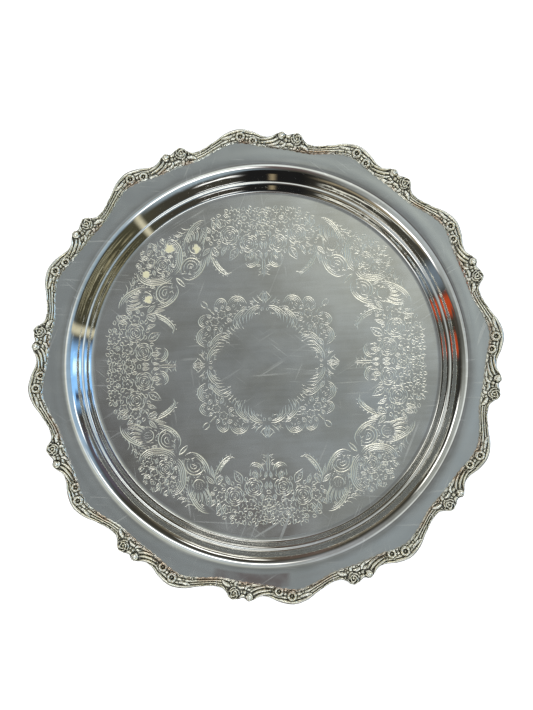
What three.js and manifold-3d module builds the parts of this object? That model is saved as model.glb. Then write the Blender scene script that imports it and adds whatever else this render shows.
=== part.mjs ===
// A 13 inch silver salver: one raised and stepped tray of sheet metal, and a scalloped border of
// twelve identical cast mounts, laid end to end round the edge of the sheet.
// Frame: millimetres, +Z up, z = 0 on the face that it stands on, X and Y along the engraving's axes.
// A place on the border is given as (degrees past the seam of its casting, radius, height above the flange).

import * as THREE from "three";
import { mergeVertices } from "three/addons/utils/BufferGeometryUtils.js";
import Module from "manifold-3d";

// ---- Driving dimensions, in mm and degrees ----
const SHEET = 1.2; // thickness of the tray's sheet
const WELL_RADIUS = 123.6; // flat well floor
const STEP_RADIUS = 129.5; // narrow step halfway up the side
const STEP_HEIGHT = 6.7;
const SHOULDER_RADIUS = 140.4; // where the side has rounded over into the flange
const SHOULDER_HEIGHT = 16.2;
const INNER_BEND = 2.6; // how far the side's curves reach out of the well floor and the step
const SHOULDER_BEND = 5.5; // and into the shoulder
const BEND_STEPS = 5; // straight pieces in each bend
const FLANGE_RISE = Math.tan(THREE.MathUtils.degToRad(4.6)); // the flange climbs outwards
const FLANGE_REACH = 168; // radius that the flange is cut back from
const LATHE_SEGMENTS = 60;
const EDGE_STEP = 3; // degrees between two points of the sheet's scalloped edge

const SECTIONS = 12;
const PITCH = 360 / SECTIONS;
const FIRST_SEAM = 16.1; // degrees from +X to the first seam
const SEAM_GAP = 0.3; // between two neighbouring castings
const SEAT_GAP = 0.3; // between a casting and the flange below it
const REED_TOP = 2.4; // the reeds' height above the flange
const LAP = -0.4; // lowest edge of the outer reed, beside the sheet's edge
const OUTER_REED = 3.0; // width of the outer reed
const INNER_REED = 1.7;
const GROOVE = 1.5; // bottom of the grooves between the reeds, above the flange
const LOBE_DEPTH = 0.07; // how far the flowers' petals stand out, as a part of their radius
const BAND_STEP = 2.5; // degrees between two sections of the reeded band

// Edges round one casting, [degrees past the seam, radius], carried smoothly from point to point.
// The border's outer edge: valley at the seam, lobe of the rose and curled leaf, scoop, crest.
const OUTER_EDGE = [
  [0, 155.7],
  [2.2, 156.9],
  [3.7, 160.6],
  [7.5, 161.5],
  [10, 161],
  [11.4, 158.9],
  [13, 158.7],
  [16, 162.5],
  [19.3, 164.9],
  [22.5, 163.3],
  [26, 158.8],
];
// The border's inner edge: broad under the rose, narrow behind the crest.
const INNER_EDGE = [
  [0, 149.6],
  [7, 149.8],
  [13, 151.1],
  [21, 155.2],
  [26, 152.4],
];
// The sheet's edge, hidden under the castings and clear of their outer reed.
const SHEET_EDGE = [
  [0, 152.2],
  [5, 153.2],
  [12.5, 154.9],
  [19.3, 161],
  [26, 155],
];

const silver = (color, roughness) =>
  new THREE.MeshStandardMaterial({ color, roughness, metalness: 1 });
const sheetSilver = silver(0xc9ccc9, 0.22);
const castSilver = silver(0xc2bda9, 0.32);

const wasm = await Module();
wasm.setup();

// ---- Solids ----
function toSolid(geometry) {
  const bare = geometry.clone();
  bare.deleteAttribute("normal");
  bare.deleteAttribute("uv");
  const merged = mergeVertices(bare, 1e-4);
  const mesh = new wasm.Mesh({
    numProp: 3,
    vertProperties: merged.attributes.position.array,
    triVerts: new Uint32Array(merged.index.array),
  });
  return new wasm.Manifold(mesh);
}

function toGeometry(solid) {
  const mesh = solid.getMesh();
  const geometry = new THREE.BufferGeometry();
  geometry.setAttribute("position", new THREE.BufferAttribute(mesh.vertProperties, 3));
  geometry.setIndex(new THREE.BufferAttribute(mesh.triVerts, 1));
  return geometry;
}

function prism(points, bottom, top) {
  const shape = new THREE.Shape(points);
  const geometry = new THREE.ExtrudeGeometry(shape, { depth: top - bottom, bevelEnabled: false });
  return toSolid(geometry.translate(0, 0, bottom));
}

// ---- The border's plan ----
const flangeHeight = (radius) => SHOULDER_HEIGHT + (radius - SHOULDER_RADIUS) * FLANGE_RISE;

function polar(degrees, radius) {
  const angle = THREE.MathUtils.degToRad(degrees);
  return new THREE.Vector2(radius * Math.cos(angle), radius * Math.sin(angle));
}

// An edge's radius at any angle round the casting.
function edgeRadius(edge) {
  const degrees = [];
  const radii = [];
  for (const turn of [-1, 0, 1]) {
    for (const [angle, radius] of edge) {
      degrees.push(angle + turn * PITCH);
      radii.push(radius);
    }
  }
  const curve = new THREE.CubicInterpolant(degrees, radii, 1);
  return (angle) => curve.evaluate(angle)[0];
}

// ---- Pieces of a casting, with z as the height above the flange ----
// The band's section at a place where it is this wide, [distance in from its outer edge, height]:
// an outer reed that laps over the sheet's edge, a middle and an inner reed, and a flat seat.
function bandSection(width) {
  const middle = (OUTER_REED + width - INNER_REED) / 2;
  return [
    [0, REED_TOP * 0.4],
    [OUTER_REED * 0.25, REED_TOP],
    [OUTER_REED * 0.75, REED_TOP],
    [OUTER_REED, GROOVE],
    [middle, REED_TOP],
    [width - INNER_REED, GROOVE],
    [width - INNER_REED * 0.5, REED_TOP],
    [width, REED_TOP * 0.5],
    [width, SEAT_GAP],
    [OUTER_REED, SEAT_GAP],
    [OUTER_REED * 0.5, LAP],
  ];
}

// The reeded band: its section carried on just past both seams, closed at its two ends.
function band() {
  const outer = edgeRadius(OUTER_EDGE);
  const inner = edgeRadius(INNER_EDGE);
  const corners = [];
  const steps = PITCH / BAND_STEP + 1;
  for (let i = 0; i <= steps; i += 1) {
    const angle = (i - 0.5) * BAND_STEP;
    const edge = outer(angle);
    for (const [distance, height] of bandSection(edge - inner(angle))) {
      const place = polar(angle, edge - distance);
      corners.push(place.x, place.y, height);
    }
  }
  const count = bandSection(OUTER_REED * 3).length;
  const faces = [];
  for (let i = 0; i < steps; i += 1) {
    for (let j = 0; j < count; j += 1) {
      const a = i * count + j;
      const b = i * count + ((j + 1) % count);
      faces.push(a, a + count, b, b, a + count, b + count);
    }
  }
  const outline = bandSection(OUTER_REED * 3).map(([x, y]) => new THREE.Vector2(x, y));
  for (const [a, b, c] of THREE.ShapeUtils.triangulateShape(outline, [])) {
    const last = steps * count;
    faces.push(c, b, a, last + a, last + b, last + c);
  }
  const geometry = new THREE.BufferGeometry();
  geometry.setAttribute("position", new THREE.Float32BufferAttribute(corners, 3));
  geometry.setIndex(faces);
  return toSolid(geometry);
}

// A domed boss on the band: a flower, bud or leaf. Lobes scallop its edge; stretchBy makes it oval.
function boss({ at, radius, height, lobes = 0, stretchBy = 1, turn = 0 }) {
  const segments = lobes > 0 ? lobes * 2 : 6;
  const profile = [
    new THREE.Vector2(0, SEAT_GAP),
    new THREE.Vector2(radius, SEAT_GAP),
    new THREE.Vector2(radius * 0.7, SEAT_GAP + 0.85 * height),
    new THREE.Vector2(0, SEAT_GAP + height),
  ];
  const geometry = new THREE.LatheGeometry(profile, segments).rotateX(Math.PI / 2);
  const position = geometry.attributes.position;
  for (let i = 0; i < position.count; i += 1) {
    const x = position.getX(i);
    const y = position.getY(i);
    const scale = lobes > 0 ? 1 + LOBE_DEPTH * Math.cos(lobes * Math.atan2(y, x)) : 1;
    position.setXY(i, x * scale * stretchBy, y * scale);
  }
  const place = polar(at[0], at[1]);
  geometry.rotateZ(THREE.MathUtils.degToRad(turn)).translate(place.x, place.y, 0);
  return toSolid(geometry);
}

const ORNAMENTS = [
  { at: [5.2, 157.3], radius: 4.8, height: 3.6, lobes: 6 }, // rose
  { at: [2.5, 152], radius: 1.7, height: 2.2, stretchBy: 1.8, turn: 60 }, // leaf of the rose
  { at: [6.9, 152.4], radius: 1.6, height: 2.4 }, // bud of the rose
  { at: [9.1, 158.3], radius: 2.3, height: 3.4, stretchBy: 1.8, turn: 20 }, // curled leaf
  { at: [14.5, 153.2], radius: 1.7, height: 2.3, stretchBy: 1.3, turn: 70 }, // bud of the crest
  { at: [16.4, 156], radius: 3, height: 2.9, lobes: 6 }, // small daisy
  { at: [19.2, 159.3], radius: 3.6, height: 3.5, lobes: 7 }, // large daisy
  { at: [24.9, 153.1], radius: 1.2, height: 2.2, stretchBy: 1.9, turn: 60 }, // leaf spur
];

// The sector between the two seams, half a gap short of each.
function seamWedge() {
  const reach = 2 * FLANGE_REACH;
  const half = SEAM_GAP / 2;
  const apex = polar(PITCH / 2, half / Math.sin(THREE.MathUtils.degToRad(PITCH / 2)));
  const start = polar(0, reach).add(polar(90, half));
  const end = polar(PITCH, reach).add(polar(PITCH - 90, half));
  return prism([apex, start, end], -SHOULDER_HEIGHT, SHOULDER_HEIGHT);
}

// Leans a flat casting onto the flange's slope.
function leanOnFlange(geometry) {
  const position = geometry.attributes.position;
  for (let i = 0; i < position.count; i += 1) {
    const radius = Math.hypot(position.getX(i), position.getY(i));
    position.setZ(i, position.getZ(i) + flangeHeight(radius));
  }
  return geometry;
}

function castingGeometry() {
  let casting = band();
  for (const ornament of ORNAMENTS) casting = casting.add(boss(ornament));
  return leanOnFlange(toGeometry(casting.intersect(seamWedge())));
}

// ---- The tray ----
// Half-thickness line of the sheet, from the axis out: well, inner wall, step, outer wall, flange.
function sheetLine() {
  const middle = SHEET / 2;
  const line = new THREE.Path();
  line.moveTo(0, middle);
  line.lineTo(WELL_RADIUS, middle);
  line.bezierCurveTo(
    WELL_RADIUS + INNER_BEND, middle,
    STEP_RADIUS - INNER_BEND, STEP_HEIGHT - middle,
    STEP_RADIUS, STEP_HEIGHT - middle,
  );
  line.bezierCurveTo(
    STEP_RADIUS + INNER_BEND, STEP_HEIGHT - middle,
    SHOULDER_RADIUS - SHOULDER_BEND, flangeHeight(SHOULDER_RADIUS - SHOULDER_BEND) - middle,
    SHOULDER_RADIUS, SHOULDER_HEIGHT - middle,
  );
  line.lineTo(FLANGE_REACH, flangeHeight(FLANGE_REACH) - middle);
  const points = line.getPoints(BEND_STEPS);
  return points.filter((point, i) => i === 0 || point.distanceTo(points[i - 1]) > SHEET / 10);
}

// A line's points moved sideways by a distance, square to the line.
function offsetLine(points, distance) {
  return points.map((point, i) => {
    const before = points[Math.max(i - 1, 0)];
    const after = points[Math.min(i + 1, points.length - 1)];
    const along = after.clone().sub(before).normalize();
    return new THREE.Vector2(point.x - along.y * distance, point.y + along.x * distance);
  });
}

function trayGeometry() {
  const line = sheetLine();
  const over = offsetLine(line, SHEET / 2);
  const under = offsetLine(line, -SHEET / 2);
  over[0].x = 0;
  under[0].x = 0;
  const profile = [...under, ...over.reverse()];
  const turned = new THREE.LatheGeometry(profile, LATHE_SEGMENTS).rotateX(Math.PI / 2);
  const edge = edgeRadius(SHEET_EDGE);
  const outline = [];
  for (let k = 0; k < SECTIONS; k += 1) {
    for (let angle = 0; angle < PITCH; angle += EDGE_STEP) {
      outline.push(polar(FIRST_SEAM + k * PITCH + angle, edge(angle)));
    }
  }
  const cutter = prism(outline, -SHEET, 2 * SHOULDER_HEIGHT);
  return toGeometry(toSolid(turned).intersect(cutter));
}

// ---- The salver ----
const salver = new THREE.Group();

const trayBody = new THREE.Mesh(trayGeometry(), sheetSilver);
trayBody.name = "tray_body";
salver.add(trayBody);

const casting = castingGeometry();
for (let k = 0; k < SECTIONS; k += 1) {
  const section = new THREE.Mesh(casting, castSilver);
  section.name = `border_section_${String(k + 1).padStart(2, "0")}`;
  section.rotation.z = THREE.MathUtils.degToRad(FIRST_SEAM + k * PITCH);
  salver.add(section);
}

export default salver;
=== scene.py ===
"""A 13 inch silver salver: a pressed tray with an engraved well, edged by twelve cast mounts.

Lengths are millimetres in the functions below and become metres where a mesh is made.
The engraving's pattern is drawn once, for the eighth of the well between +Y and the diagonal, and
repeated by mirroring and turning. A place on a mount is (degrees past its seam, radius), and its height
is counted from the flange below it.
"""

import math

import bpy
import numpy as np
from mathutils import Matrix, Vector
from mathutils.geometry import delaunay_2d_cdt


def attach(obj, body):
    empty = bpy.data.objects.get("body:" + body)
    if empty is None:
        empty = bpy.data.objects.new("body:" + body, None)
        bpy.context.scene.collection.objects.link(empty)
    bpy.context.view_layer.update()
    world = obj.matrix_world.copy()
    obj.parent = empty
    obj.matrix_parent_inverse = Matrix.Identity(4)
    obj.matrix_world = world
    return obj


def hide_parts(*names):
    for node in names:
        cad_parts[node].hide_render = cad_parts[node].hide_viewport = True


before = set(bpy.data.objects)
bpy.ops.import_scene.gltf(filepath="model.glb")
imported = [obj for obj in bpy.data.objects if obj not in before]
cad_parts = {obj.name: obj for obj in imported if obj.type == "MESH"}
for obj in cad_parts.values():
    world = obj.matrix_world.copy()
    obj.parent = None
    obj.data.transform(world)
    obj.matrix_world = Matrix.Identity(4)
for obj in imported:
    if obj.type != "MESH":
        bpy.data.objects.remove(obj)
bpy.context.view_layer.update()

MM = 0.001
rng = np.random.default_rng(13)

# ---- Driving dimensions, in mm and degrees: the same as the CAD solids' ----
SHEET = 1.2
WELL_RADIUS = 123.6
STEP_RADIUS = 129.5
STEP_HEIGHT = 6.7
CREASE_BEND = 1.3
SHOULDER_RADIUS = 140.4
SHOULDER_HEIGHT = 16.2
SHOULDER_BEND = 4.4
FLANGE_RISE = math.tan(math.radians(4.6))
SECTIONS = 12
PITCH = 360 / SECTIONS
FIRST_SEAM = 16.1
SHEET_EDGE = [(0, 152.2), (5, 153.2), (12.5, 154.9), (19.3, 161), (26, 155)]

# ---- The well's engraving ----
FIELD_RADIUS = 121.0  # the cut floor is meshed apart out to here
EIGHTH_STEPS = 40  # points of the field's rim in one eighth
CUT_SLOPE = 0.42  # depth of a cut over its half width
CUT_STEP = 1.1  # length of a stroke's straight pieces
CUT_STEPS = (2, 18)  # fewest and most pieces of a stroke
BESIDE_STEPS = 16  # pieces of a line that strokes run beside
# An engraved rose's rings of petals: how many, reach, sweep and lean in degrees.
ROSE_PETALS = [(5, 1.0, 74, 0), (5, 0.8, 50, 40), (4, 0.58, 84, 30), (3, 0.34, 96, 70)]
STIPPLE_PITCH = 0.85  # between the rows of a matted disc
FINER = 0.8  # width of the middle wreath's strokes over that of the others
FILL_BEND = 55  # a filling leaf turns up to this many degrees off pointing straight out
SNAP = 1e-4  # a point this near to an axis or a diagonal lies on it
MERGE_GRID = 2000  # steps in a mm of the grid on which points count as the same


def polar(degrees, radius):
    """The point at that angle from +X and that radius, for numbers or arrays."""
    angle = np.radians(degrees)
    return np.stack([radius * np.cos(angle), radius * np.sin(angle)], axis=-1)


def smooth_line(points, steps):
    """A Catmull-Rom curve through the points, as steps pieces of about equal length."""
    points = np.asarray(points, float)
    if len(points) == 2:
        return points[0] + (points[1] - points[0]) * np.linspace(0, 1, steps + 1)[:, None]
    ends = np.vstack([2 * points[0] - points[1], points, 2 * points[-1] - points[-2]])
    t = np.linspace(0, 1, 9)[:-1, None]
    fine = []
    for a, b, c, d in zip(ends, ends[1:], ends[2:], ends[3:]):
        fine.append(
            0.5 * (2 * b + (c - a) * t + (2 * a - 5 * b + 4 * c - d) * t**2 + (3 * b - a - 3 * c + d) * t**3)
        )
    fine = np.vstack([*fine, points[-1:]])
    run = np.concatenate([[0], np.cumsum(np.linalg.norm(np.diff(fine, axis=0), axis=1))])
    at = np.linspace(0, run[-1], steps + 1)
    return np.stack([np.interp(at, run, fine[:, k]) for k in (0, 1)], axis=1)


def left_of(along):
    """Unit vectors to the left of these directions."""
    along = along / (np.linalg.norm(along, axis=1)[:, None] + 1e-12)
    return np.stack([-along[:, 1], along[:, 0]], axis=1)


class Engraving:
    """The strokes of one eighth of the pattern: each is a line that swells and tapers."""

    def __init__(self):
        self.strokes = []

    def stroke(self, points, width=0.62):
        """One cut along a line, at its widest near its middle."""
        points = np.asarray(points, float)
        length = np.linalg.norm(np.diff(points, axis=0), axis=1).sum()
        steps = int(np.clip(round(length / CUT_STEP), *CUT_STEPS))
        self.strokes.append((smooth_line(points, steps), width))

    def strokes_beside(self, line, gaps, width=0.6, trim=0.1):
        """Strokes that run beside a line, each this far to its left and a little shorter than the last."""
        path = smooth_line(line, BESIDE_STEPS)
        across = left_of(np.gradient(path, axis=0))
        for k, gap in enumerate(gaps):
            skip = int(BESIDE_STEPS * trim * (k + 1) / 2)
            self.stroke((path + across * gap)[skip : BESIDE_STEPS + 1 - skip : 2], width)

    def arc(self, at, radius, start, end, width=0.6, swell=0.0):
        """An arc round a point, pushed out at its middle by swell times its radius."""
        part = np.linspace(0, 1, 7)
        reach = radius * (1 + swell * np.sin(np.pi * part))
        self.stroke(np.add(at, polar(start + (end - start) * part, reach)), width)

    def leaf(self, base, tip, width, veins=2, bow=0.0):
        """A pointed leaf: two bowed sides, a midrib and side veins."""
        base, tip = np.array(base, float), np.array(tip, float)
        along = tip - base
        across = np.array([-along[1], along[0]]) / np.linalg.norm(along)
        middle = (base + tip) / 2 + across * bow
        for side in (-1, 1):
            self.stroke([base, middle + across * side * width / 2 - along * 0.08, tip], 0.58)
        if veins == 0:
            return
        self.stroke([base + along * 0.08, middle, tip - along * 0.15], 0.42)
        for k in range(veins):
            root = base + along * (0.28 + 0.42 * k / max(veins - 1, 1)) + across * bow * 0.8
            for side in (-1, 1):
                self.stroke([root, root + along * 0.14 + across * side * width * 0.28], 0.38)

    def spray(self, base, heading, length, count, spread, curl, width=0.55):
        """Flame strokes that fan out of a point and curl."""
        for k in range(count):
            part = k / max(count - 1, 1)
            angle = heading + spread * (part - 0.5)
            size = length * (0.82 + 0.3 * (k % 2)) * (1 - 0.25 * abs(part - 0.5))
            start = np.add(base, polar(angle, size * 0.25))
            middle = np.add(base, polar(angle + curl * 0.15, size * 0.62))
            end = np.add(base, polar(angle + curl * 0.55, size))
            self.stroke([start, middle, end], width)

    def fringe(self, line, side, count, length, lean, width=0.5):
        """Short strokes along a line, leaning forwards off one side of it."""
        path = smooth_line(line, count + 1)
        for k in range(1, count + 1):
            along = path[k] - path[k - 1]
            heading = math.degrees(math.atan2(along[1], along[0]))
            part = 0.35 + 0.65 * math.sin(math.pi * (k + 0.5) / (count + 2))
            start = path[k] + polar(heading + side * 90, 0.45)
            middle = start + polar(heading + side * lean, length * part * 0.55)
            end = middle + polar(heading + side * lean * 0.3, length * part * 0.5)
            self.stroke([start, middle, end], width)

    def rose(self, at, radius, turn=0):
        """A full rose: rings of overlapping petals, hatched at their edges, round a curl."""
        for count, reach, sweep, lean in ROSE_PETALS:
            for k in range(count):
                middle = turn + lean + 360 * k / count
                self.arc(at, radius * reach, middle - sweep / 2, middle + sweep / 2 + 8, 0.6, 0.1)
        for k in range(10):
            angle = turn + 18 + 36 * k
            ends = [polar(angle - 7, radius * 0.84), polar(angle + 4, radius * 1.02)]
            self.stroke(np.add(at, ends), 0.42)
        self.arc(at, radius * 0.16, turn, turn + 250, 0.5)

    def daisy(self, at, radius, petals=5, turn=0):
        """An open flower of looped petals round a ring."""
        half = 180 / petals
        for k in range(petals):
            middle = turn + 360 * k / petals
            loop = [(-0.75, 0.38), (-0.9, 0.80), (0, 1.08), (0.9, 0.80), (0.75, 0.38)]
            self.stroke([np.add(at, polar(middle + half * a, radius * r)) for a, r in loop], 0.52)
        self.arc(at, radius * 0.22, turn, turn + 300, 0.45)

    def stipple(self, at, radius):
        """A matted disc: short cuts laid side by side."""
        rows = int(radius / STIPPLE_PITCH)
        for k in range(-rows, rows + 1):
            half = math.sqrt(max(radius**2 - (k * STIPPLE_PITCH) ** 2, 0))
            count = max(int(half / 0.8), 1)
            for j in range(count):
                start = np.add(at, (-half + (j + 0.25) * 2 * half / count, k * STIPPLE_PITCH))
                self.stroke([start, start + (0.7, 0.25)], 0.42)

    def clear_of_strokes(self, spot, gap):
        """Whether every stroke so far stays this far from the spot."""
        return all(np.min(np.linalg.norm(line - spot, axis=1)) > gap for line, _ in self.strokes)

    def fill(self, region, heart, tries, gap, size, leafy):
        """Small leaves and flames in a region's open spaces, pointing away from its heart."""
        region = np.array(region, float)
        low, high = region.min(axis=0), region.max(axis=0)
        for _ in range(tries):
            spot = rng.uniform(low, high)
            bend = rng.uniform(-FILL_BEND, FILL_BEND)
            kind = rng.random()
            if not lies_within(spot, region) or not self.clear_of_strokes(spot, gap):
                continue
            away = spot - heart
            heading = math.degrees(math.atan2(away[1], away[0])) + bend
            reach = polar(heading, size / 2)
            if kind < leafy:
                self.leaf(spot - reach, spot + reach, size * 0.62, 0)
            else:
                side = polar(heading + 90, size * 0.22 * np.sign(bend))
                self.stroke([spot - reach, spot + side, spot + reach], 0.5)


def lies_within(spot, outline):
    """Whether a spot lies inside a closed outline."""
    x, y = outline.T
    ahead_x, ahead_y = np.roll(outline, -1, axis=0).T
    crosses = (y > spot[1]) != (ahead_y > spot[1])
    at = x + (spot[1] - y) * (ahead_x - x) / np.where(ahead_y == y, 1, ahead_y - y)
    return np.count_nonzero(crosses & (at > spot[0])) % 2 == 1


def draw_cartouche(cut):
    """The half of a diagonal's shell-shaped cartouche, with its bloom, that lies in the eighth."""
    scroll = [
        (63.9, 64.8), (60.6, 68.0), (58.6, 73.0), (58.0, 79.4), (59.4, 85.4), (63.2, 89.8), (68.4, 91.4),
    ]
    cut.stroke(scroll, 0.95)
    cut.strokes_beside(scroll, (-1.3, -2.5, -3.7), 0.68, 0.12)
    cut.fringe(scroll[2:], 1, 9, 3.2, 50)
    cut.rose((72.4, 72.4), 5.6, 15)
    cut.daisy((67.4, 84.6), 3.5, 6, 40)
    cut.stipple((67.4, 84.6), 1.7)
    cut.daisy((74.6, 80.2), 2.6, 5, 10)
    cut.leaf((68.9, 79.0), (64.4, 77.6), 2.0, 1)
    cut.leaf((71.0, 79.0), (72.6, 84.6), 2.6, 2)
    cut.leaf((76.4, 82.0), (79.0, 87.4), 2.6, 2)
    cut.leaf((66.4, 73.6), (63.6, 70.2), 1.9, 1)
    cut.spray((70.5, 86.0), 95, 5.6, 4, 80, -30)
    cut.spray((75.8, 83.5), 70, 6.4, 4, 60, -25)
    cut.spray((64.6, 81.2), 170, 3.6, 3, 80, 30)
    cut.fringe([(64.6, 66.6), (62.4, 70.0), (61.4, 75.0), (62.0, 80.0)], -1, 7, 2.4, 60)
    # The small pointed loop that hangs from it on the diagonal.
    cut.stroke([(63.6, 63.0), (60.2, 61.6), (57.4, 58.8), (56.2, 56.4)], 0.8)
    cut.stroke([(62.0, 61.2), (60.0, 59.6), (58.6, 58.2)], 0.5)
    cut.fringe([(64.2, 66.0), (60.8, 65.6), (58.0, 66.4)], -1, 3, 1.8, 50)


def draw_paisley(cut):
    """The comma-shaped scroll inside the wreath, beside the cartouche."""
    rim = [(40.8, 78.2), (41.6, 73.0), (43.8, 68.0), (47.4, 63.8), (51.8, 61.4), (55.4, 61.6), (58.6, 63.4)]
    cut.stroke(rim, 0.95)
    cut.strokes_beside(rim[:6], (1.3, 2.5), 0.6, 0.2)
    curl = [
        (58.8, 64.8), (59.2, 70.0), (56.6, 75.0), (51.8, 77.0), (47.2, 75.4), (45.0, 71.2), (46.8, 67.2),
        (51.0, 66.0),
    ]
    cut.stroke(curl, 0.85)
    turn = [(57.0, 67.0), (56.8, 71.2), (54.2, 74.4), (50.6, 74.8), (47.8, 72.4), (48.2, 69.2), (51.4, 68.0)]
    cut.stroke(turn, 0.6)
    cut.stroke([(54.8, 68.6), (54.4, 71.6), (51.8, 72.8), (50.0, 71.0), (51.2, 69.6)], 0.6)
    cut.fringe(curl[:6], -1, 9, 2.6, 55)
    cut.fringe([(45.4, 70.2), (48.4, 65.4), (53.4, 63.6)], -1, 5, 1.8, 55)
    cut.spray((54.8, 67.4), 320, 4.0, 3, 60, 30)
    cut.leaf((56.6, 77.2), (56.9, 82.4), 2.0, 2)


def draw_acanthus(cut):
    """The tall curled leaf outside the paisley, with its matted eye."""
    cut.stipple((48.8, 84.3), 3.1)
    cut.arc((48.8, 84.3), 4.1, 190, 400, 0.75)
    outer = [(41.2, 104.0), (46.4, 103.0), (51.2, 99.0), (54.6, 93.4), (56.8, 87.0), (56.2, 81.6)]
    cut.stroke(outer, 0.9)
    cut.strokes_beside(outer, (-1.2, -2.4), 0.62, 0.14)
    for k in range(6):
        start = polar(158 - 24 * k, 4.8) + (48.8, 84.3)
        end = polar(122 - 15 * k, 16.5 - 1.1 * k) + (48.8, 84.3)
        middle = (start + end) / 2 + polar(190 - 18 * k, 1.5)
        cut.stroke([start, middle, end], 0.7)
        cut.stroke([start + (0.9, -0.2), middle + (1.0, -0.4), end + (1.0, -2.4)], 0.5)
    side = [(43.6, 84.0), (42.0, 89.0), (41.4, 94.0), (42.0, 99.4)]
    cut.stroke(side, 0.7)
    cut.fringe(side, -1, 6, 2.6, 40)
    cut.fringe(outer[1:], 1, 9, 2.4, 50)
    for k in range(4):
        place = polar(62.6 - 1.9 * k, 111.4 - 0.8 * k)
        cut.stroke([place, place + (2.6, -1.5), place + (5.4, -1.2), place + (7.8, 0.4)], 0.5)
    cut.spray((58.6, 91.4), 62, 5.0, 4, 80, -40, 0.5)


def draw_inner_curls(cut):
    """The leaf scrolls that hang inside the wreath between the paisley and the axis bouquet."""
    cut.leaf((37.8, 83.6), (44.0, 77.4), 2.6, 2, 0.4)
    cut.leaf((38.0, 80.0), (40.2, 70.4), 1.8, 2, 0.3)
    scroll = [
        (37.8, 82.6), (37.6, 77.8), (35.6, 72.8), (33.0, 68.8), (29.6, 65.6), (26.4, 64.2), (23.6, 65.6),
    ]
    cut.stroke(scroll, 0.85)
    cut.strokes_beside(scroll[1:], (-1.3, -2.6), 0.6, 0.16)
    cut.fringe(scroll, -1, 9, 5.2, 40, 0.55)
    cut.fringe(scroll[1:], 1, 6, 2.0, 50)
    cut.leaf((36.4, 84.6), (33.2, 76.8), 4.0, 3)
    cut.arc((33.6, 79.6), 1.7, 40, 300, 0.55)
    cut.leaf((18.4, 83.8), (24.2, 74.0), 5.4, 3)
    cut.leaf((27.5, 84.5), (29.8, 77.4), 2.6, 2)
    bowl = [(3.2, 75.6), (4.2, 72.0), (7.4, 69.6), (11.0, 69.8), (13.4, 72.4)]
    cut.stroke(bowl, 0.85)
    cut.strokes_beside(bowl, (1.2, 2.3), 0.6, 0.15)
    cut.leaf((8.4, 81.8), (9.2, 74.0), 2.8, 2)
    cut.spray((7.4, 80.0), 250, 6.0, 4, 80, 30)
    cut.spray((11.4, 79.4), 295, 5.4, 3, 50, -30)
    cut.leaf((2.1, 80.6), (1.4, 75.2), 1.7, 1)
    cut.stroke([(0.5, 76.2), (0.9, 71.0), (0.4, 62.4)], 0.6)
    cut.spray((0.9, 71.6), 300, 5.6, 4, 80, 40, 0.5)
    cut.spray((0.9, 66.4), 300, 4.2, 3, 60, 40, 0.45)


def draw_bouquet(cut):
    """The half of an axis bouquet: roses, small flowers and a net of leaves."""
    cut.rose((24.0, 92.4), 6.1, 20)
    cut.rose((10.3, 86.5), 5.8, -10)
    for place, size, petals, turn in (
        ((33.2, 92.6), 3.6, 5, 10),
        ((20.6, 107.2), 4.3, 7, 0),
        ((6.4, 106.6), 3.8, 6, 15),
        ((12.6, 98.4), 3.6, 5, 50),
        ((2.6, 97.4), 2.6, 5, 30),
        ((29.4, 101.4), 3.0, 5, 70),
    ):
        cut.daisy(place, size, petals, turn)
    for base, tip, width in (
        ((34.2, 97.2), (36.8, 103.6), 3.0),
        ((37.4, 94.4), (41.0, 99.2), 2.8),
        ((30.6, 97.2), (33.4, 106.0), 3.0),
        ((37.6, 89.6), (41.6, 91.4), 2.4),
        ((17.2, 93.6), (16.0, 97.0), 2.2),
        ((4.2, 91.0), (4.8, 95.8), 2.2),
        ((14.8, 103.4), (11.0, 106.4), 2.6),
        ((24.4, 105.4), (28.4, 108.6), 2.6),
        ((1.8, 88.2), (1.2, 82.0), 2.2),
    ):
        cut.leaf(base, tip, width, 2)
    net = [
        (0, 79), (0, 112.5), (10, 113), (22, 112.6), (30, 109), (38, 104), (40, 96), (39, 87), (34, 83),
        (14, 80),
    ]
    cut.fill(net, (14, 92), 900, 1.25, 3.6, 0.75)


def draw_corner_lobes(cut):
    """The middle wreath's corner: a daisy, its stalk and two scalloped lobes with leaves."""
    cut.daisy((30.8, 35.8), 3.0, 6, 20)
    cut.stroke([(35.4, 35.8), (38.2, 38.4), (40.6, 41.0)], 0.6)
    cut.stroke([(40.8, 41.0), (41.0, 43.2), (43.0, 45.2), (44.9, 45.2)], 0.75)
    lobe = [(27.2, 41.4), (27.6, 45.4), (31.0, 47.4), (34.4, 45.4), (36.2, 41.6)]
    cut.stroke(lobe, 0.8)
    cut.strokes_beside(lobe, (-1.2, -2.3), 0.6, 0.14)
    lobe = [(12.6, 42.8), (15.4, 47.2), (19.8, 48.8), (24.4, 46.8), (27.2, 42.0)]
    cut.stroke(lobe, 0.85)
    cut.strokes_beside(lobe, (-1.2, -2.3, -3.4), 0.62, 0.14)
    cut.fringe([(14.6, 45.0), (19.0, 48.8), (25.0, 45.6)], 1, 6, 1.6, 60, 0.45)
    cut.leaf((24.2, 38.8), (28.6, 41.6), 2.6, 2)
    cut.leaf((27.6, 32.4), (22.6, 30.8), 2.6, 2)
    cut.leaf((17.6, 38.2), (12.4, 41.2), 2.6, 2)
    cut.leaf((33.4, 38.0), (36.2, 41.6), 2.2, 1)


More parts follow.
